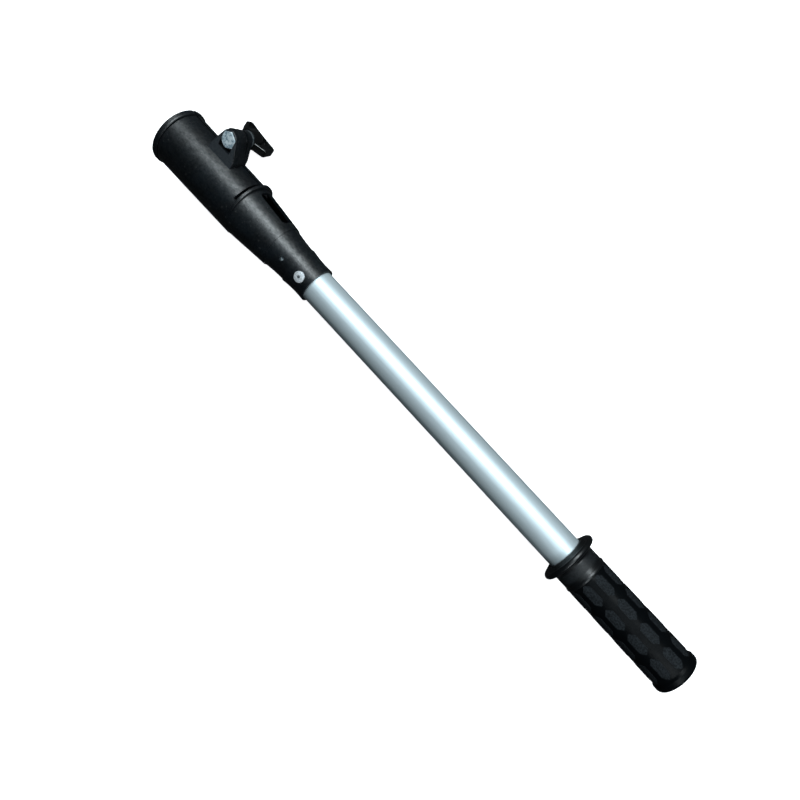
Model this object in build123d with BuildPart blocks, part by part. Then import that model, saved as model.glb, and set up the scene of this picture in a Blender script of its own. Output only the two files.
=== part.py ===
from build123d import *
import math
import os

# Tiller extension: a split clamp socket that grips an outboard's tiller handle,
# a round aluminium tube riveted into its neck, and a rubber hand grip.
# X runs along the tube from the socket's mouth, and the origin is the mouth's
# centre. Millimetres throughout.

# Whole object
OVERALL_LENGTH = 608.0
REST_ROLL = 6.8             # degrees that the lug side is turned up when it lies on the floor
CUT_REACH = 80.0            # longer than any cut has to be
EASE = 0.05                 # clearance of parts that turn or slide on each other

# Tube
TUBE_RADIUS = 15.0
TUBE_WALL = 1.5
TUBE_IN_SOCKET = 45.5       # length of the tube that the neck and collar hold

# Socket, outside
RIM_WIDTH = 5.2
RIM_RADIUS = 27.1
RIM_ROUND = 1.5
RIM_GROOVE = 0.9
BARREL_LENGTH = 95.5
BARREL_FRONT_RADIUS = 25.7
BARREL_BACK_RADIUS = 24.9
CONE_LENGTH = 42.6
CONE_FRONT_RADIUS = 24.5
CONE_BACK_RADIUS = 20.4
NECK_LENGTH = 22.5
NECK_FRONT_RADIUS = 19.7
NECK_BACK_RADIUS = 17.5
NECK_SAG = 0.35             # how far the neck's waist dips inside a straight cone
COLLAR_LENGTH = 23.7
COLLAR_FRONT_RADIUS = 18.2
COLLAR_WAIST_RADIUS = 16.95
COLLAR_WAIST_OFFSET = 14.2  # from the collar's front step to its waist
COLLAR_END_RADIUS = 17.25

# Socket, inside
BORE_RADIUS = 22.3
CONE_WALL = 2.7
TUBE_STOP_LENGTH = 2.0
TUBE_FIT = 0.05

# Split in the socket's wall
SLIT_WIDTH = 2.5
SLIT_OFFSET = 3.5           # from the socket's middle plane towards the knob
SLOT_WIDTH = 3.4
SLOT_BACK_OFFSET = 2.6      # from the slot's far face to the end of the barrel
SLOT_HALF_ANGLE = 60.0
BEAD_WIDTH = 3.0
BEAD_HEIGHT = 2.9
BEAD_ROUND = 0.7
WINDOW_FRONT_OFFSET = 3.5   # from the end of the barrel
WINDOW_LENGTH = 32.0
WINDOW_WIDTH = 16.5
WINDOW_CORNER = 3.0

# Clamp lugs
BOLT_X = 53.8
BOLT_HEIGHT = 41.0          # from the socket's axis to the bolt's
LUG_RADIUS = 9.2
LUG_FOOT_HALF = 15.0
LUG_FOOT_DROP = 13.4        # from the bolt's axis down to where the foot's width is measured
LUG_TAPER = 8.0             # degrees that the lug under the bolt's head narrows towards the knob
FAR_LUG_RADIUS = 7.6
FAR_LUG_FOOT_HALF = 11.5
LUG_ROUND = 0.8
HEAD_SEAT = 7.0             # from the socket's middle plane to the seat of the bolt's head
FAR_SEAT = 10.0             # from the same plane to the face under the washer
BOSS_HEIGHT = 4.8           # how far the boss round the bolt's head stands proud of its seat
BOSS_STEP = 0.8
HEAD_POCKET_RUN = 9.6       # how far the head's pocket runs down from the bolt's axis
HEAD_SEAT_CLEARANCE = 0.2

# Bolt, washer and moulded-in nut: M8
BOLT_RADIUS = 4.0
BOLT_LENGTH = 30.0
THREAD_PITCH = 1.25
HEAD_FLATS = 13.0
HEAD_HEIGHT = 5.3
HEAD_CHAMFER = 0.3          # how far inside the flats the head's top circle lies
HEAD_CHAMFER_ANGLE = 28.0
BOLT_HOLE_CLEARANCE = 0.25
WASHER_RADIUS = 7.5
WASHER_THICKNESS = 1.6
WASHER_BORE_RADIUS = 4.2
NUT_FLATS = 13.0
NUT_HEIGHT = 6.5
NUT_SINK = 1.0              # how deep the nut sits below the knob's face

# Wing knob
HUB_RADIUS = 8.6
HUB_WALL_HEIGHT = 8.5       # from the knob's base up to where its dome begins
HUB_SHOULDER = 6.8
HUB_SHOULDER_HEIGHT = 12.6
HUB_DOME_HEIGHT = 17.0
KNOB_TURN = -5.5            # degrees that the wings stand off the tube's direction
KNOB_HEIGHT = 20.0
WING_HALF_SPAN = 17.8
WING_THICKNESS = 7.4
WING_PANEL = 3.6            # thickness inside the wings' rim
WING_RIM_WIDTH = 2.6
WING_ROUND = 1.4
WING_SAG = 0.6              # how far the lower edge of the wing on the mouth's side curves in
WING_DIP = 0.8              # how far the top edge sinks in its middle
WING_TIP_HEIGHT = 6.5       # from the top down to the outmost point of the wing on the mouth's side
FULL_WING_HEIGHT = 14.0     # the same on the other wing, which is fuller
WING_TIP_SLOPE = 1.5
WING_TIP_RADIUS = 3.0
TIP_ROOM = 1.5              # free space past the bolt's tip

# Rivets and pilot hole
RIVET_ANGLE = 77.0          # from the lug's direction, round the socket
RIVET_FROM_END = 10.8
RIVET_RADIUS = 2.4
RIVET_HEAD_RADIUS = 4.85
RIVET_HEAD_HEIGHT = 1.5
RIVET_HEAD_DOME = 0.9
RIVET_PIN_RADIUS = 1.35
RIVET_PIN_SINK = 0.5
RIVET_TAIL_RADIUS = 3.5
RIVET_TAIL_LENGTH = 3.0
RIVET_PIN_HEAD = 1.6
PILOT_FROM_NECK_END = 8.8
PILOT_RADIUS = 2.2

# Grip
GRIP_LENGTH = 125.5
GRIP_FRONT_RADIUS = 18.0
GRIP_BACK_RADIUS = 18.6
GRIP_END_WALL = 4.0
FLANGE_RADIUS = 24.5
FLANGE_WIDTH = 9.5
FLANGE_EDGE = 5.0
FLANGE_FOOT = 2.2
FLANGE_EDGE_OFFSET = 4.4    # from the grip's front to the flange's edge
FLANGE_NOSE_RADIUS = 17.5
RIB_CENTRE = 22.8
RIB_HEIGHT = 0.6
RIB_WIDTH = 3.6
END_BEAD_RADIUS = 19.9
END_BEAD_WIDTH = 8.0
END_BEAD_RISE = 2.0
END_BEAD_ROUND = 3.0
PAD_ROWS = 9
PADS_IN_ROW = 4
PAD_LENGTH = 20.0
PAD_PITCH = 24.0
PAD_ANGLE = 24.5
PAD_CORNER = 3.5
PAD_HEIGHT = 0.25
PAD_ROOT = 1.0              # how far above the tube a pad's block starts
FIRST_ROW_ANGLE = 38.0      # from the lug's direction, round the grip
FIRST_PAD = 24.6            # from the grip's front to the first ring of pads

os.makedirs("parts", exist_ok=True)


def save(part, name):
    """Label one finished piece and write it under the same name."""
    part.label = name
    export_step(part, f"parts/{name}.step")


def around(angle, offset=0.0):
    """Plane on the socket's axis whose normal points round the socket at an angle from the lug."""
    turn = math.radians(REST_ROLL + angle)
    normal = (0, math.cos(turn), math.sin(turn))
    return Plane(origin=(0, 0, 0), x_dir=(1, 0, 0), z_dir=normal).offset(offset)


# Stations along X
BARREL_END = BARREL_LENGTH
CONE_END = BARREL_END + CONE_LENGTH
NECK_END = CONE_END + NECK_LENGTH
COLLAR_END = NECK_END + COLLAR_LENGTH
TUBE_START = COLLAR_END - TUBE_IN_SOCKET
GRIP_START = OVERALL_LENGTH - GRIP_LENGTH
TUBE_END = OVERALL_LENGTH - GRIP_END_WALL

# Stations along the bolt, from the socket's middle plane
LUG_DEPTH = HEAD_SEAT + FAR_SEAT
KNOB_BASE = FAR_SEAT + WASHER_THICKNESS
KNOB_TOP = KNOB_BASE + KNOB_HEIGHT

# LUG_SIDE: x along the tube, y out along the lugs, z towards the bolt's head
LUG_SIDE = around(90)
OUTWARD = around(0)
END_ON = Plane.YZ.rotated((REST_ROLL, 0, 0))

# BOLT: z towards the knob and x along its wings; WINGS: the same place, with y towards the knob
BOLT_AT = LUG_SIDE.from_local_coords((BOLT_X, BOLT_HEIGHT, 0))
WING_WAY = Vector(1, 0, 0).rotate(Axis(BOLT_AT, LUG_SIDE.z_dir), KNOB_TURN)
BOLT = Plane(origin=BOLT_AT, x_dir=WING_WAY, z_dir=-LUG_SIDE.z_dir)
WINGS = Plane(origin=BOLT_AT, x_dir=BOLT.x_dir, z_dir=-BOLT.y_dir)
BOLT_AXIS = Axis(BOLT_AT, BOLT.z_dir)


def cone_radius(x):
    """Outer radius of the socket's cone at a station."""
    fall = CONE_FRONT_RADIUS - CONE_BACK_RADIUS
    return CONE_FRONT_RADIUS - fall * (x - BARREL_END) / CONE_LENGTH


def grip_radius(x):
    """Outer radius of the grip's plain body at a station."""
    rise = GRIP_BACK_RADIUS - GRIP_FRONT_RADIUS
    return GRIP_FRONT_RADIUS + rise * (x - GRIP_START) / GRIP_LENGTH


# Eccentric bead that stiffens the socket behind its slot
BEAD_TOP = BARREL_BACK_RADIUS + BEAD_HEIGHT
BEAD_SHIFT = (BEAD_TOP**2 - BARREL_BACK_RADIUS**2) / (2 * BEAD_TOP)
with BuildPart() as bead:
    with BuildSketch(END_ON.offset(BARREL_END - BEAD_WIDTH)):
        with Locations((BEAD_SHIFT, 0)):
            Circle(BEAD_TOP - BEAD_SHIFT)
    extrude(amount=BEAD_WIDTH)
    fillet(bead.edges(), radius=BEAD_ROUND)

# Clamp lugs, one block that the slit parts later, with a boss round the bolt's head
LUG_ROOT = BORE_RADIUS - CONE_WALL
LUG_FOOT = BOLT_HEIGHT - LUG_FOOT_DROP


def lug_outline(radius, foot_half):
    """Outline of one lug in LUG_SIDE: an eye round the bolt on a foot that widens downwards."""
    with BuildSketch() as outline:
        with BuildLine():
            CenterArc((BOLT_X, BOLT_HEIGHT), radius, 0, 360)
            Line((BOLT_X - foot_half, LUG_ROOT), (BOLT_X - foot_half, LUG_FOOT))
            Line((BOLT_X + foot_half, LUG_ROOT), (BOLT_X + foot_half, LUG_FOOT))
        make_hull()
    return outline.sketch


with BuildPart() as lugs:
    with BuildSketch(LUG_SIDE.offset(HEAD_SEAT)):
        add(lug_outline(LUG_RADIUS, LUG_FOOT_HALF))
    extrude(amount=-HEAD_SEAT - SLIT_OFFSET, taper=LUG_TAPER)
    with BuildSketch(LUG_SIDE.offset(-FAR_SEAT)):
        add(lug_outline(FAR_LUG_RADIUS, FAR_LUG_FOOT_HALF))
    extrude(amount=FAR_SEAT - SLIT_OFFSET)
    with BuildSketch(LUG_SIDE.offset(HEAD_SEAT)):
        add(lug_outline(LUG_RADIUS, LUG_FOOT_HALF))
        offset(amount=-BOSS_STEP)
    extrude(amount=BOSS_HEIGHT)
    lug_faces = lugs.faces().filter_by(LUG_SIDE).sort_by(BOLT_AXIS)
    fillet(lug_faces[0].edges() + lug_faces[-1].edges(), radius=LUG_ROUND)

# Socket
RIM_SHOULDER = RIM_RADIUS - RIM_ROUND
NECK_MIDDLE = (NECK_FRONT_RADIUS + NECK_BACK_RADIUS) / 2 - NECK_SAG
STOP_START = TUBE_START - TUBE_STOP_LENGTH
SLOT_START = BARREL_END - SLOT_BACK_OFFSET - SLOT_WIDTH
with BuildPart() as socket:
    with BuildSketch(Plane.XY):
        with BuildLine():
            Line((0, BORE_RADIUS), (0, RIM_SHOULDER))
            RadiusArc((0, RIM_SHOULDER), (RIM_ROUND, RIM_RADIUS), RIM_ROUND)
            Line((RIM_ROUND, RIM_RADIUS), (RIM_WIDTH - RIM_ROUND, RIM_RADIUS))
            RadiusArc((RIM_WIDTH - RIM_ROUND, RIM_RADIUS), (RIM_WIDTH, RIM_SHOULDER), RIM_ROUND)
            Polyline(
                (RIM_WIDTH, RIM_SHOULDER),
                (RIM_WIDTH, BARREL_FRONT_RADIUS - RIM_GROOVE),
                (RIM_WIDTH + RIM_GROOVE, BARREL_FRONT_RADIUS),
                (BARREL_END, BARREL_BACK_RADIUS),
                (BARREL_END, CONE_FRONT_RADIUS),
                (CONE_END, CONE_BACK_RADIUS),
                (CONE_END, NECK_FRONT_RADIUS),
            )
            ThreePointArc(
                (CONE_END, NECK_FRONT_RADIUS),
                (CONE_END + NECK_LENGTH / 2, NECK_MIDDLE),
                (NECK_END, NECK_BACK_RADIUS),
            )
            Line((NECK_END, NECK_BACK_RADIUS), (NECK_END, COLLAR_FRONT_RADIUS))
            ThreePointArc(
                (NECK_END, COLLAR_FRONT_RADIUS),
                (NECK_END + COLLAR_WAIST_OFFSET, COLLAR_WAIST_RADIUS),
                (COLLAR_END, COLLAR_END_RADIUS),
            )
            Polyline(
                (COLLAR_END, COLLAR_END_RADIUS),
                (COLLAR_END, TUBE_RADIUS + TUBE_FIT),
                (TUBE_START, TUBE_RADIUS + TUBE_FIT),
                (TUBE_START, TUBE_RADIUS - TUBE_WALL),
                (STOP_START, TUBE_RADIUS - TUBE_WALL),
                (STOP_START, cone_radius(STOP_START) - CONE_WALL),
                (BARREL_END, BORE_RADIUS),
                (0, BORE_RADIUS),
            )
        make_face()
    revolve(axis=Axis.X)
    add(lugs.part)
    add(bead.part)
    # the bore again, through the bead
    with BuildSketch(Plane.YZ):
        Circle(BORE_RADIUS)
    extrude(amount=BARREL_END, mode=Mode.SUBTRACT)
    # longitudinal slit from the mouth through the lugs to the slot
    with BuildSketch(OUTWARD):
        with Locations((SLOT_START / 2, SLIT_OFFSET)):
            Rectangle(SLOT_START + SLOT_WIDTH, SLIT_WIDTH)
    extrude(amount=CUT_REACH, mode=Mode.SUBTRACT)
    # slot across, round the lugs' side of the socket
    with BuildSketch(END_ON.offset(SLOT_START)):
        with BuildLine():
            slot_arc = CenterArc((0, 0), CUT_REACH, -SLOT_HALF_ANGLE, 2 * SLOT_HALF_ANGLE)
            Line((0, 0), slot_arc @ 0)
            Line((0, 0), slot_arc @ 1)
        make_face()
    extrude(amount=SLOT_WIDTH, mode=Mode.SUBTRACT)
    # window in the cone
    with BuildSketch(OUTWARD):
        with Locations((BARREL_END + WINDOW_FRONT_OFFSET + WINDOW_LENGTH / 2, SLIT_OFFSET)):
            RectangleRounded(WINDOW_LENGTH, WINDOW_WIDTH, WINDOW_CORNER)
    extrude(amount=CUT_REACH, mode=Mode.SUBTRACT)
    # the bolt's hole, and the pocket that its head fills
    with BuildSketch(LUG_SIDE):
        with Locations((BOLT_X, BOLT_HEIGHT)):
            Circle(BOLT_RADIUS + BOLT_HOLE_CLEARANCE)
    extrude(amount=CUT_REACH, both=True, mode=Mode.SUBTRACT)
    with BuildSketch(LUG_SIDE.offset(HEAD_SEAT)):
        with Locations((BOLT_X, BOLT_HEIGHT)):
            RegularPolygon(HEAD_FLATS / 2 + HEAD_SEAT_CLEARANCE, 6, major_radius=False, rotation=30)
        with Locations((BOLT_X, BOLT_HEIGHT - HEAD_POCKET_RUN / 2)):
            Rectangle(HEAD_FLATS + 2 * HEAD_SEAT_CLEARANCE, HEAD_POCKET_RUN)
    extrude(amount=CUT_REACH, mode=Mode.SUBTRACT)
    # rivet holes and the pilot hole
    with BuildSketch(around(RIVET_ANGLE)):
        with Locations((COLLAR_END - RIVET_FROM_END, 0)):
            Circle(RIVET_RADIUS)
    extrude(amount=CUT_REACH, both=True, mode=Mode.SUBTRACT)
    with BuildSketch(around(RIVET_ANGLE)):
        with Locations((NECK_END - PILOT_FROM_NECK_END, 0)):
            Circle(PILOT_RADIUS)
    extrude(amount=CUT_REACH, mode=Mode.SUBTRACT)

save(socket.part, "socket")

# Tube
with BuildPart() as tube:
    with BuildSketch(Plane.YZ.offset(TUBE_START)):
        Circle(TUBE_RADIUS)
        Circle(TUBE_RADIUS - TUBE_WALL, mode=Mode.SUBTRACT)
    extrude(amount=TUBE_END - TUBE_START)
    with BuildSketch(around(RIVET_ANGLE)):
        with Locations((COLLAR_END - RIVET_FROM_END, 0)):
            Circle(RIVET_RADIUS)
    extrude(amount=CUT_REACH, both=True, mode=Mode.SUBTRACT)

save(tube.part, "tube")

# Raised pads of the grip, trimmed to a skin just proud of its body
PADS_START = GRIP_START + FIRST_PAD
PADS_END = PADS_START + PAD_LENGTH + (PADS_IN_ROW - 1) * PAD_PITCH
PAD_HALF_WIDTH = grip_radius(PADS_START) * math.sin(math.radians(PAD_ANGLE / 2))
PAD_SHOULDER = PAD_LENGTH / 2 - PAD_CORNER
PAD_NOSE = PAD_HALF_WIDTH - PAD_CORNER
with BuildPart() as pads:
    for row in range(PAD_ROWS):
        with BuildSketch(around(FIRST_ROW_ANGLE + row * 360 / PAD_ROWS, TUBE_RADIUS + PAD_ROOT)):
            for pad in range(PADS_IN_ROW):
                with Locations((PADS_START + PAD_LENGTH / 2 + pad * PAD_PITCH, 0)):
                    Polygon(
                        (-PAD_SHOULDER, -PAD_HALF_WIDTH),
                        (PAD_SHOULDER, -PAD_HALF_WIDTH),
                        (PAD_LENGTH / 2, -PAD_NOSE),
                        (PAD_LENGTH / 2, PAD_NOSE),
                        (PAD_SHOULDER, PAD_HALF_WIDTH),
                        (-PAD_SHOULDER, PAD_HALF_WIDTH),
                        (-PAD_LENGTH / 2, PAD_NOSE),
                        (-PAD_LENGTH / 2, -PAD_NOSE),
                    )
        extrude(amount=TUBE_RADIUS)
    with BuildSketch(Plane.XY):
        Polygon(
            (PADS_START, 0),
            (PADS_END, 0),
            (PADS_END, grip_radius(PADS_END) + PAD_HEIGHT),
            (PADS_START, grip_radius(PADS_START) + PAD_HEIGHT),
            align=None,
        )
    revolve(axis=Axis.X, mode=Mode.INTERSECT)

# Grip
FLANGE_EDGE_X = GRIP_START + FLANGE_EDGE_OFFSET
FLANGE_END = GRIP_START + FLANGE_WIDTH
RIB_X = GRIP_START + RIB_CENTRE
BEAD_X = OVERALL_LENGTH - END_BEAD_WIDTH
with BuildPart() as grip:
    with BuildSketch(Plane.XY):
        with BuildLine():
            Polyline(
                (OVERALL_LENGTH, 0),
                (TUBE_END, 0),
                (TUBE_END, TUBE_RADIUS),
                (GRIP_START, TUBE_RADIUS),
                (GRIP_START, FLANGE_NOSE_RADIUS),
                (FLANGE_EDGE_X - FLANGE_EDGE / 2, FLANGE_RADIUS - FLANGE_EDGE / 2),
            )
            ThreePointArc(
                (FLANGE_EDGE_X - FLANGE_EDGE / 2, FLANGE_RADIUS - FLANGE_EDGE / 2),
                (FLANGE_EDGE_X, FLANGE_RADIUS),
                (FLANGE_EDGE_X + FLANGE_EDGE / 2, FLANGE_RADIUS - FLANGE_EDGE / 2),
            )
            Polyline(
                (FLANGE_EDGE_X + FLANGE_EDGE / 2, FLANGE_RADIUS - FLANGE_EDGE / 2),
                (FLANGE_END - FLANGE_FOOT, grip_radius(FLANGE_END) + FLANGE_FOOT / 2),
                (FLANGE_END, grip_radius(FLANGE_END)),
                (RIB_X - RIB_WIDTH / 2, grip_radius(RIB_X)),
            )
            ThreePointArc(
                (RIB_X - RIB_WIDTH / 2, grip_radius(RIB_X)),
                (RIB_X, grip_radius(RIB_X) + RIB_HEIGHT),
                (RIB_X + RIB_WIDTH / 2, grip_radius(RIB_X)),
            )
            Polyline(
                (RIB_X + RIB_WIDTH / 2, grip_radius(RIB_X)),
                (BEAD_X, grip_radius(BEAD_X)),
                (BEAD_X + END_BEAD_RISE, END_BEAD_RADIUS),
                (OVERALL_LENGTH - END_BEAD_ROUND, END_BEAD_RADIUS),
            )
            RadiusArc(
                (OVERALL_LENGTH - END_BEAD_ROUND, END_BEAD_RADIUS),
                (OVERALL_LENGTH, END_BEAD_RADIUS - END_BEAD_ROUND),
                END_BEAD_ROUND,
            )
            Line((OVERALL_LENGTH, END_BEAD_RADIUS - END_BEAD_ROUND), (OVERALL_LENGTH, 0))
        make_face()
    revolve(axis=Axis.X)
    add(pads.part)
    with BuildSketch(Plane.YZ.offset(GRIP_START)):
        Circle(TUBE_RADIUS)
    extrude(amount=TUBE_END - GRIP_START, mode=Mode.SUBTRACT)

save(grip.part, "grip")

# Clamp bolt, its head on the visible lug
HEAD_TOP = HEAD_SEAT + HEAD_HEIGHT
HEAD_TOP_RADIUS = HEAD_FLATS / 2 - HEAD_CHAMFER
with BuildPart() as clamp_bolt:
    with BuildSketch(BOLT.offset(-HEAD_SEAT)):
        Circle(BOLT_RADIUS)
    extrude(amount=BOLT_LENGTH)
    chamfer(clamp_bolt.faces().sort_by(BOLT_AXIS)[-1].edges(), length=THREAD_PITCH / 2)
    with BuildSketch(LUG_SIDE.offset(HEAD_SEAT)):
        with Locations((BOLT_X, BOLT_HEIGHT)):
            RegularPolygon(HEAD_FLATS / 2, 6, major_radius=False, rotation=30)
    extrude(amount=HEAD_HEIGHT)
    with BuildSketch(WINGS):
        Polygon(
            (HEAD_TOP_RADIUS, -HEAD_TOP),
            (HEAD_FLATS, -HEAD_TOP),
            (HEAD_FLATS, (HEAD_FLATS - HEAD_TOP_RADIUS) * math.tan(math.radians(HEAD_CHAMFER_ANGLE)) - HEAD_TOP),
            align=None,
        )
    revolve(axis=BOLT_AXIS, mode=Mode.SUBTRACT)

save(clamp_bolt.part, "clamp_bolt")

# Washer between the far lug and the knob
with BuildPart() as clamp_washer:
    with BuildSketch(BOLT.offset(FAR_SEAT)):
        Circle(WASHER_RADIUS)
        Circle(WASHER_BORE_RADIUS, mode=Mode.SUBTRACT)
    extrude(amount=WASHER_THICKNESS)

save(clamp_washer.part, "clamp_washer")

# Nut that the knob is moulded round
with BuildPart() as knob_nut:
    with BuildSketch(BOLT.offset(KNOB_BASE + NUT_SINK)):
        RegularPolygon(NUT_FLATS / 2, 6, major_radius=False)
        Circle(BOLT_RADIUS + EASE, mode=Mode.SUBTRACT)
    extrude(amount=NUT_HEIGHT)

save(knob_nut.part, "knob_nut")

# Wing knob: a domed hub between two wings with a thick rim
TIP_Y = KNOB_TOP - WING_TIP_HEIGHT
FULL_TIP_Y = KNOB_TOP - FULL_WING_HEIGHT
TOP_HALF = WING_HALF_SPAN - WING_TIP_SLOPE
HUB_WALL_TOP = KNOB_BASE + HUB_WALL_HEIGHT
HUB_TOP = KNOB_BASE + HUB_DOME_HEIGHT
with BuildSketch() as wing_outline:
    with BuildLine():
        Polyline(
            (-HUB_RADIUS, KNOB_BASE),
            (HUB_RADIUS, KNOB_BASE),
            (WING_HALF_SPAN, FULL_TIP_Y),
            (TOP_HALF, KNOB_TOP),
        )
        ThreePointArc((TOP_HALF, KNOB_TOP), (0, KNOB_TOP - WING_DIP), (-TOP_HALF, KNOB_TOP))
        Line((-TOP_HALF, KNOB_TOP), (-WING_HALF_SPAN, TIP_Y))
        ThreePointArc(
            (-WING_HALF_SPAN, TIP_Y),
            (WING_SAG - (HUB_RADIUS + WING_HALF_SPAN) / 2, (KNOB_BASE + TIP_Y) / 2),
            (-HUB_RADIUS, KNOB_BASE),
        )
    make_face()
    tips = wing_outline.vertices().group_by(Axis.X)
    upper_corners = wing_outline.vertices().group_by(Axis.Y)[-1]
    fillet(tips[0] + tips[-1] + upper_corners, radius=WING_TIP_RADIUS)

with BuildPart() as wing_knob:
    with BuildSketch(WINGS):
        add(wing_outline.sketch)
    extrude(amount=WING_THICKNESS / 2, both=True)
    fillet(wing_knob.faces().filter_by(WINGS).edges().filter_by(GeomType.CIRCLE), radius=WING_ROUND)
    for side in (1, -1):
        with BuildSketch(WINGS.offset(side * WING_PANEL / 2)):
            add(wing_outline.sketch)
            offset(amount=-WING_RIM_WIDTH)
        extrude(amount=side * WING_THICKNESS, mode=Mode.SUBTRACT)
    # hub, turned about the bolt's axis
    with BuildSketch(WINGS):
        with BuildLine():
            Polyline((0, KNOB_BASE), (HUB_RADIUS, KNOB_BASE), (HUB_RADIUS, HUB_WALL_TOP))
            ThreePointArc(
                (HUB_RADIUS, HUB_WALL_TOP),
                (HUB_SHOULDER, KNOB_BASE + HUB_SHOULDER_HEIGHT),
                (0, HUB_TOP),
            )
            Line((0, HUB_TOP), (0, KNOB_BASE))
        make_face()
    revolve(axis=BOLT_AXIS)
    # room for the bolt's tip, and the pocket that the nut fills
    with BuildSketch(BOLT.offset(KNOB_BASE)):
        Circle(BOLT_RADIUS + BOLT_HOLE_CLEARANCE)
    extrude(amount=BOLT_LENGTH - LUG_DEPTH - WASHER_THICKNESS + TIP_ROOM, mode=Mode.SUBTRACT)
    with BuildSketch(BOLT.offset(KNOB_BASE + NUT_SINK)):
        RegularPolygon(NUT_FLATS / 2, 6, major_radius=False)
    extrude(amount=NUT_HEIGHT, mode=Mode.SUBTRACT)

save(wing_knob.part, "wing_knob")


def rivet_plane(angle):
    """Plane through a rivet's axis: x along the tube from the axis, y outwards."""
    outward = around(angle).z_dir
    origin = (COLLAR_END - RIVET_FROM_END, 0, 0)
    return Plane(origin=origin, x_dir=(1, 0, 0), z_dir=Vector(1, 0, 0).cross(outward))


# Blind rivets through collar and tube, with their snapped-off mandrels
HEAD_Y = COLLAR_WAIST_RADIUS + RIVET_HEAD_HEIGHT
TAIL_Y = TUBE_RADIUS - TUBE_WALL - RIVET_TAIL_LENGTH
PIN_TOP = HEAD_Y - RIVET_PIN_SINK
for name, angle in (("front", RIVET_ANGLE), ("back", RIVET_ANGLE + 180)):
    place = rivet_plane(angle)
    rivet_axis = Axis(place.origin, place.y_dir)
    with BuildPart() as rivet:
        with BuildSketch(place):
            with BuildLine():
                Polyline(
                    (RIVET_PIN_RADIUS, HEAD_Y),
                    (RIVET_PIN_RADIUS, TAIL_Y),
                    (RIVET_TAIL_RADIUS - RIVET_TAIL_LENGTH / 3, TAIL_Y),
                    (RIVET_TAIL_RADIUS, TAIL_Y + RIVET_TAIL_LENGTH / 3),
                    (RIVET_TAIL_RADIUS, TUBE_RADIUS - TUBE_WALL / 2),
                    (RIVET_RADIUS, TUBE_RADIUS - TUBE_WALL / 2),
                    (RIVET_RADIUS, TUBE_RADIUS),
                    (RIVET_HEAD_RADIUS, TUBE_RADIUS),
                    (RIVET_HEAD_RADIUS, HEAD_Y - RIVET_HEAD_DOME),
                )
                ThreePointArc(
                    (RIVET_HEAD_RADIUS, HEAD_Y - RIVET_HEAD_DOME),
                    (RIVET_HEAD_RADIUS * 0.7, HEAD_Y - RIVET_HEAD_DOME * 0.4),
                    (RIVET_PIN_RADIUS, HEAD_Y),
                )
            make_face()
        revolve(axis=rivet_axis)
        add(socket.part, mode=Mode.SUBTRACT)
        add(tube.part, mode=Mode.SUBTRACT)
    save(rivet.part, f"rivet_{name}")
    with BuildPart() as pin:
        with BuildSketch(place):
            Polygon(
                (0, PIN_TOP),
                (0, TAIL_Y - RIVET_PIN_HEAD),
                (RIVET_TAIL_RADIUS - RIVET_TAIL_LENGTH / 3, TAIL_Y - RIVET_PIN_HEAD),
                (RIVET_TAIL_RADIUS - RIVET_TAIL_LENGTH / 3, TAIL_Y),
                (RIVET_PIN_RADIUS, TAIL_Y),
                (RIVET_PIN_RADIUS, PIN_TOP),
                align=None,
            )
        revolve(axis=rivet_axis)
    save(pin.part, f"rivet_{name}_pin")
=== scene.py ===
import math

import bpy
from mathutils import Matrix, Vector


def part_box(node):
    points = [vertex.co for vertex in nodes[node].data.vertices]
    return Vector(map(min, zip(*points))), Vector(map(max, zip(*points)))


# The tiller extension as it lies on a white floor. Metres, in the frame of the CAD model:
# X along the tube from the socket's mouth to the grip's end, Z up.
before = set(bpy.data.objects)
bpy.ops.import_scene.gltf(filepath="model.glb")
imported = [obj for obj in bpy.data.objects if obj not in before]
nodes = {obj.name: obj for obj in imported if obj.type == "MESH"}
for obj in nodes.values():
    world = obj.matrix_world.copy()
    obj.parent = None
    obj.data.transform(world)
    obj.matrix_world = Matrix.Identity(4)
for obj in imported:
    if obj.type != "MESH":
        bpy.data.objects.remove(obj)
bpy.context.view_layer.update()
MM = 0.001

# Camera, in a frame that is turned about the tube until the camera looks straight down on it
CAMERA_X = 368.6 * MM
CAMERA_SIDE = -13.9 * MM
CAMERA_HEIGHT = 573.3 * MM
CAMERA_PITCH = math.radians(6.5)
CAMERA_LEAN = math.radians(-28.0)
TUBE_IN_PICTURE = math.radians(47.35)
LENS_MM = 31.5
SENSOR_MM = 36.0
CLIP_START = 0.01
CLIP_END = 50.0

# Lamps. The angles are from the line back to the camera towards the lugs' side.
KEY_ANGLE = math.radians(24.0)
KEY_DISTANCE = 0.95
KEY_SIZE = (1.2, 0.30)
KEY_WATTS = 18.5
KEY_COLOUR = (0.88, 0.97, 1.0)
FILL_ANGLE = math.radians(8.0)
FILL_DISTANCE = 1.5
FILL_SIZE = (2.2, 1.2)
FILL_WATTS = 4.4
FILL_COLOUR = (0.62, 0.84, 1.0)
BARREL_AIM_X = 30.0 * MM    # where key and fill aim
EDGE_WAY = (0.75, -0.1, 0.55)   # shares of the three view axes
EDGE_DISTANCE = 0.95
EDGE_SIZE = (0.2, 0.3)
EDGE_WATTS = 1.8
LUGS_X = 54.0 * MM          # where the edge lamp aims

# World and floor
AMBIENT = 0.008
FLOOR_SIZE = 8.0
FLOOR_ALBEDO = 0.8          # as the camera sees it
FLOOR_BOUNCE = 0.04         # as the object sees it
FLOOR_GLOW = 0.93

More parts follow.
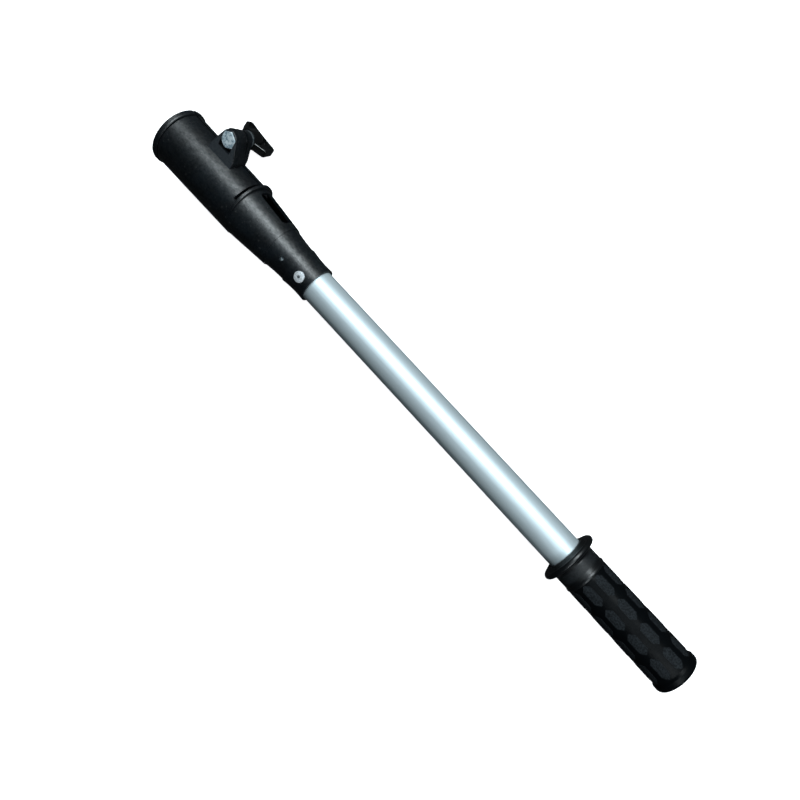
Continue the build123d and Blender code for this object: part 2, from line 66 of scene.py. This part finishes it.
# The lugs of the CAD model, which stand a little turned up. These also place the painted light on the
# boss's flat face.
LUGS_ROLL = math.radians(6.8)
LUG_WAY = (0, math.cos(LUGS_ROLL), math.sin(LUGS_ROLL))     # from the tube's axis to the bolt
FACE_WAY = (0, -math.sin(LUGS_ROLL), math.cos(LUGS_ROLL))   # the way that the lugs' flat faces look
FACE_SHARE = (0.96, 0.99)   # share of FACE_WAY in a normal, from off the face to on it
LUG_FOOT = 14.0 * MM        # along LUG_WAY
BOSS_FOOT = 9.5 * MM        # along FACE_WAY

# The grip of the CAD model: its plain cone and, from its front, the zones of its surface
GRIP_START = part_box("grip")[0].x
GRIP_FRONT_RADIUS = 18.0 * MM
GRIP_SLOPE = 0.6 / 125.5
PAD_SKIN = 0.1 * MM         # a surface that stands this far proud of the cone is a pad
MATTE_BAND_START = GRIP_START + 10.0 * MM
MATTE_BAND_END = GRIP_START + 18.0 * MM
RIB_END = GRIP_START + 24.4 * MM
END_BEAD_START = GRIP_START + 117.2 * MM

# How bright the zinc plate is, as a share of bare zinc. The low share is painted shade on the washer, nut
# and rivet pins.
BRIGHT_ZINC = 0.85
ZINC_SHARE_IN_PAINTED_SHADE = 0.12


def turned(vector):
    """A vector of the camera's own frame, in the model's frame."""
    return Matrix.Rotation(CAMERA_LEAN, 3, "X") @ Vector(vector)


def view_axes():
    """Directions of the view: along the tube in the picture, across it, and back to the camera."""
    along = turned((math.cos(CAMERA_PITCH), 0, -math.sin(CAMERA_PITCH)))
    across = turned((0, 1, 0))
    back = along.cross(across)
    return along, across, back


def add_camera():
    along, across, back = view_axes()
    right = along * math.cos(TUBE_IN_PICTURE) + across * math.sin(TUBE_IN_PICTURE)
    up = across * math.cos(TUBE_IN_PICTURE) - along * math.sin(TUBE_IN_PICTURE)
    data = bpy.data.cameras.new("camera")
    data.lens = LENS_MM
    data.sensor_width = SENSOR_MM
    data.clip_start = CLIP_START
    data.clip_end = CLIP_END
    camera = bpy.data.objects.new("camera", data)
    axes = Matrix((right, up, back)).transposed().to_4x4()
    place = turned((CAMERA_X, CAMERA_SIDE, CAMERA_HEIGHT))
    camera.matrix_world = Matrix.Translation(place) @ axes
    bpy.context.scene.collection.objects.link(camera)
    bpy.context.scene.camera = camera


def add_lamp(name, target_x, way, distance, size, watts, colour):
    """A rectangular area lamp that aims at a point of the tube's axis, with its length along the tube."""
    data = bpy.data.lights.new(name, "AREA")
    data.shape = "RECTANGLE"
    data.size, data.size_y = size
    data.energy = watts
    data.color = colour
    lamp = bpy.data.objects.new(name, data)
    back = way.normalized()
    up = back.cross(Vector((1, 0, 0))).normalized()
    right = up.cross(back)
    place = Vector((target_x, 0, 0)) + back * distance
    lamp.matrix_world = Matrix.Translation(place) @ Matrix((right, up, back)).transposed().to_4x4()
    bpy.context.scene.collection.objects.link(lamp)


def add_lamps():
    along, across, back = view_axes()

    # A long narrow lamp on the lugs' side of the view, and a weak wide one behind the camera
    key_way = back * math.cos(KEY_ANGLE) + across * math.sin(KEY_ANGLE)
    fill_way = back * math.cos(FILL_ANGLE) + across * math.sin(FILL_ANGLE)
    add_lamp("key", BARREL_AIM_X, key_way, KEY_DISTANCE, KEY_SIZE, KEY_WATTS, KEY_COLOUR)
    add_lamp("fill", BARREL_AIM_X, fill_way, FILL_DISTANCE, FILL_SIZE, FILL_WATTS, FILL_COLOUR)

    # A small one past the grip, which only edges and faces turned that way reflect
    edge_way = along * EDGE_WAY[0] + across * EDGE_WAY[1] + back * EDGE_WAY[2]
    add_lamp("edge", LUGS_X, edge_way, EDGE_DISTANCE, EDGE_SIZE, EDGE_WATTS, KEY_COLOUR)


class Nodes:
    """Short ways to build one material's node tree."""

    def __init__(self, name):
        self.material = bpy.data.materials.new(name)
        self.material.use_nodes = True
        self.tree = self.material.node_tree
        self.shader = self.tree.nodes["Principled BSDF"]
        coordinates = self.add("ShaderNodeTexCoord")
        self.place = coordinates.outputs["Object"]
        self.normal = coordinates.outputs["Normal"]

    def add(self, kind, inputs=None, **settings):
        made = self.tree.nodes.new(kind)
        for key, value in settings.items():
            setattr(made, key, value)
        for key, value in (inputs or {}).items():
            self.put(made.inputs[key], value)
        return made

    def put(self, socket, value):
        if isinstance(value, bpy.types.NodeSocket):
            self.tree.links.new(value, socket)
        else:
            socket.default_value = value

    def set(self, **values):
        for key, value in values.items():
            self.put(self.shader.inputs[key.replace("_", " ")], value)

    def math(self, operation, a, b=0.0, c=0.0):
        return self.add("ShaderNodeMath", {0: a, 1: b, 2: c}, operation=operation).outputs[0]

    def times(self, first, *others):
        for other in others:
            first = self.math("MULTIPLY", first, other)
        return first

    def along(self, vector, way):
        made = self.add("ShaderNodeVectorMath", {0: vector, 1: way}, operation="DOT_PRODUCT")
        return made.outputs["Value"]

    def scaled(self, x, y, z):
        mapped = self.add("ShaderNodeMapping", {"Vector": self.place, "Scale": (x, y, z)})
        return mapped.outputs[0]

    def noise(self, scale, detail=3.0, roughness=0.55, vector=None):
        made = self.add(
            "ShaderNodeTexNoise",
            {"Vector": vector or self.place, "Scale": scale, "Detail": detail, "Roughness": roughness},
        )
        return made.outputs[0]

    def fit(self, value, low, high, to_low, to_high):
        made = self.add("ShaderNodeMapRange", {0: value, 1: low, 2: high, 3: to_low, 4: to_high})
        return made.outputs[0]

    def blend(self, factor, dark, light):
        made = self.add("ShaderNodeMix", data_type="RGBA")
        for index, value in ((0, factor), (6, dark), (7, light)):
            self.put(made.inputs[index], value)
        return made.outputs[2]

    def bump(self, height, strength, distance):
        made = self.add("ShaderNodeBump", {"Height": height, "Strength": strength, "Distance": distance})
        return made.outputs[0]


def grey(value, blue=0.0):
    """A neutral colour, a little bluer where blue is above 0."""
    return (value * (1 - blue), value, value * (1 + blue), 1.0)


def paint(material, *names):
    for name in names:
        slots = nodes[name].data.materials
        slots.clear()
        slots.append(material)


def socket_plastic():
    """Satin moulded plastic. The boss's flat face carries painted light: a paler colour, so that it
    blends into the barrel's highlight.
    """
    n = Nodes("socket_plastic")
    grain = n.noise(1500.0, detail=4.0, roughness=0.7)
    cloud = n.noise(60.0, detail=2.0)
    speck = n.fit(n.noise(520.0, detail=2.0), 0.69, 0.75, 0.0, 1.0)
    mottle = n.noise(330.0, detail=5.0, roughness=0.75)
    flat = n.fit(n.along(n.normal, FACE_WAY), *FACE_SHARE, 0.0, 1.0)
    high = n.math("GREATER_THAN", n.along(n.place, LUG_WAY), LUG_FOOT)
    proud = n.math("GREATER_THAN", n.along(n.place, FACE_WAY), BOSS_FOOT)
    # Mask of the boss's flat face, where painted light is put into the colour
    painted_light_boss_face = n.times(flat, high, proud)
    plain = n.blend(n.fit(cloud, 0.35, 0.65, 0.0, 1.0), grey(0.0014, 0.45), grey(0.0030, 0.45))
    # Painted light: the boss face gets a much paler grey than the rest of the plastic
    base = n.blend(painted_light_boss_face, plain, grey(0.022, 0.15))
    n.set(Base_Color=n.blend(speck, base, grey(0.05)))
    n.set(Roughness=n.fit(grain, 0.3, 0.7, 0.33, 0.48))
    n.set(Specular_IOR_Level=n.fit(mottle, 0.32, 0.68, 0.28, 0.76))
    n.set(Normal=n.bump(grain, 0.5, 0.14 * MM))
    return n.material


def tube_aluminium():
    """Anodised tube, with fine lines drawn along it."""
    n = Nodes("tube_aluminium")
    drawn = n.noise(1.0, detail=3.0, vector=n.scaled(12.0, 1600.0, 1600.0))
    n.set(Metallic=0.6)
    n.set(Base_Color=n.blend(drawn, (0.44, 0.51, 0.54, 1), (0.50, 0.57, 0.60, 1)))
    n.set(Roughness=n.fit(drawn, 0.3, 0.7, 0.47, 0.57))
    n.set(Normal=n.bump(drawn, 0.05, 0.02 * MM))
    return n.material


def grip_rubber():
    """Glossy rubber, matte and paler on the raised pads and on a band behind the flange."""
    n = Nodes("grip_rubber")
    x, y, z = n.add("ShaderNodeSeparateXYZ", {"Vector": n.place}).outputs
    radius = n.math("SQRT", n.math("ADD", n.times(y, y), n.times(z, z)))
    cone = n.math("MULTIPLY_ADD", n.math("SUBTRACT", x, GRIP_START), GRIP_SLOPE, GRIP_FRONT_RADIUS)
    raised = n.fit(n.math("SUBTRACT", radius, cone), PAD_SKIN, PAD_SKIN * 2, 0.0, 1.0)
    behind_rib = n.math("GREATER_THAN", x, RIB_END)
    before_bead = n.math("LESS_THAN", x, END_BEAD_START)
    pads = n.times(raised, behind_rib, before_bead)
    before_pads = n.math("SUBTRACT", 1.0, behind_rib)
    past_start = n.math("GREATER_THAN", x, MATTE_BAND_START)
    before_end = n.math("LESS_THAN", x, MATTE_BAND_END)
    matte = n.math("MAXIMUM", pads, n.times(past_start, before_end, 0.5))
    weave = n.noise(850.0, detail=1.0)
    dots = n.times(matte, n.fit(weave, 0.4, 0.6, 0.35, 1.1))
    n.set(Base_Color=n.blend(dots, grey(0.0015, 0.25), grey(0.0125, 0.15)))
    n.set(Roughness=n.fit(matte, 0.0, 1.0, 0.36, 0.7))
    n.set(Specular_IOR_Level=n.fit(matte, 0.0, 1.0, n.fit(before_pads, 0.0, 1.0, 0.06, 0.4), 0.05))
    n.set(Normal=n.bump(weave, n.fit(matte, 0.0, 1.0, 0.03, 0.5), 0.2 * MM))
    return n.material


def zinc(name, share):
    """Zinc plate, at a share of its full brightness. A low share paints shade into it."""
    n = Nodes(name)
    cloud = n.noise(330.0, detail=3.0, roughness=0.6)
    streak = n.fit(cloud, 0.38, 0.6, 0.0, 1.0)
    dark = (0.30 * share, 0.41 * share, 0.48 * share, 1)
    light = (0.80 * share, 0.90 * share, 0.94 * share, 1)
    n.set(Metallic=0.5)
    n.set(Base_Color=n.blend(streak, dark, light))
    n.set(Roughness=n.fit(cloud, 0.3, 0.7, 0.22, 0.38))
    n.set(Normal=n.bump(cloud, 0.2, 0.12 * MM))
    return n.material


def rivet_metal():
    n = Nodes("rivet_aluminium")
    cloud = n.noise(700.0, detail=3.0)
    n.set(Metallic=0.5)
    n.set(Base_Color=n.blend(cloud, grey(0.55, 0.04), grey(0.80, 0.04)))
    n.set(Roughness=n.fit(cloud, 0.3, 0.7, 0.18, 0.34))
    n.set(Normal=n.bump(cloud, 0.1, 0.08 * MM))
    return n.material


def knob_plastic():
    n = Nodes("knob_plastic")
    ripple = n.noise(260.0, detail=2.0)
    n.set(Base_Color=n.blend(ripple, grey(0.0015), grey(0.003)))
    n.set(Roughness=n.fit(ripple, 0.3, 0.7, 0.14, 0.24))
    n.set(Normal=n.bump(ripple, 0.12, 0.15 * MM))
    return n.material


def floor_white():
    """A pale floor that the camera sees as white, and that keeps its shadow."""
    n = Nodes("floor_white")
    n.tree.nodes.remove(n.shader)
    seen = n.add("ShaderNodeLightPath").outputs["Is Camera Ray"]
    colour = n.blend(seen, grey(FLOOR_BOUNCE), grey(FLOOR_ALBEDO))
    diffuse = n.add("ShaderNodeBsdfDiffuse", {"Color": colour})
    glow = n.add("ShaderNodeEmission", {"Color": grey(1.0), "Strength": n.times(seen, FLOOR_GLOW)})
    both = n.add("ShaderNodeAddShader", {0: diffuse.outputs[0], 1: glow.outputs[0]})
    n.put(n.tree.nodes["Material Output"].inputs["Surface"], both.outputs[0])
    return n.material


def add_floor():
    """The floor, through the lowest lines of the socket's rim and the grip's flange."""
    front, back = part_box("socket")[0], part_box("grip")[0]
    slope = math.atan2(back.z - front.z, back.x - front.x)
    bpy.ops.mesh.primitive_plane_add(size=FLOOR_SIZE)
    floor = bpy.context.object
    floor.name = "floor"
    floor.matrix_world = Matrix.Translation((front.x, 0, front.z)) @ Matrix.Rotation(-slope, 4, "Y")
    floor.data.materials.append(floor_white())


def add_world():
    """A world that the camera sees as white, and that lights the object only a little."""
    world = bpy.data.worlds.new("studio")
    bpy.context.scene.world = world
    world.use_nodes = True
    tree = world.node_tree
    background = tree.nodes["Background"]
    light_path = tree.nodes.new("ShaderNodeLightPath")
    strength = tree.nodes.new("ShaderNodeMapRange")
    strength.inputs["To Min"].default_value = AMBIENT
    strength.inputs["To Max"].default_value = 1.0
    tree.links.new(light_path.outputs["Is Camera Ray"], strength.inputs[0])
    tree.links.new(strength.outputs[0], background.inputs["Strength"])
    background.inputs["Color"].default_value = grey(1.0)


bpy.context.scene.view_settings.view_transform = "Standard"
add_camera()
add_world()
add_floor()
add_lamps()

paint(socket_plastic(), "socket")
paint(tube_aluminium(), "tube")
paint(grip_rubber(), "grip")
paint(zinc("bolt_zinc", BRIGHT_ZINC), "clamp_bolt")
# Painted shade: the same zinc, darkened to a low share of its brightness
paint(zinc("zinc_in_painted_shade", ZINC_SHARE_IN_PAINTED_SHADE), "clamp_washer", "knob_nut", "rivet_front_pin", "rivet_back_pin")
paint(rivet_metal(), "rivet_front", "rivet_back")
paint(knob_plastic(), "wing_knob")
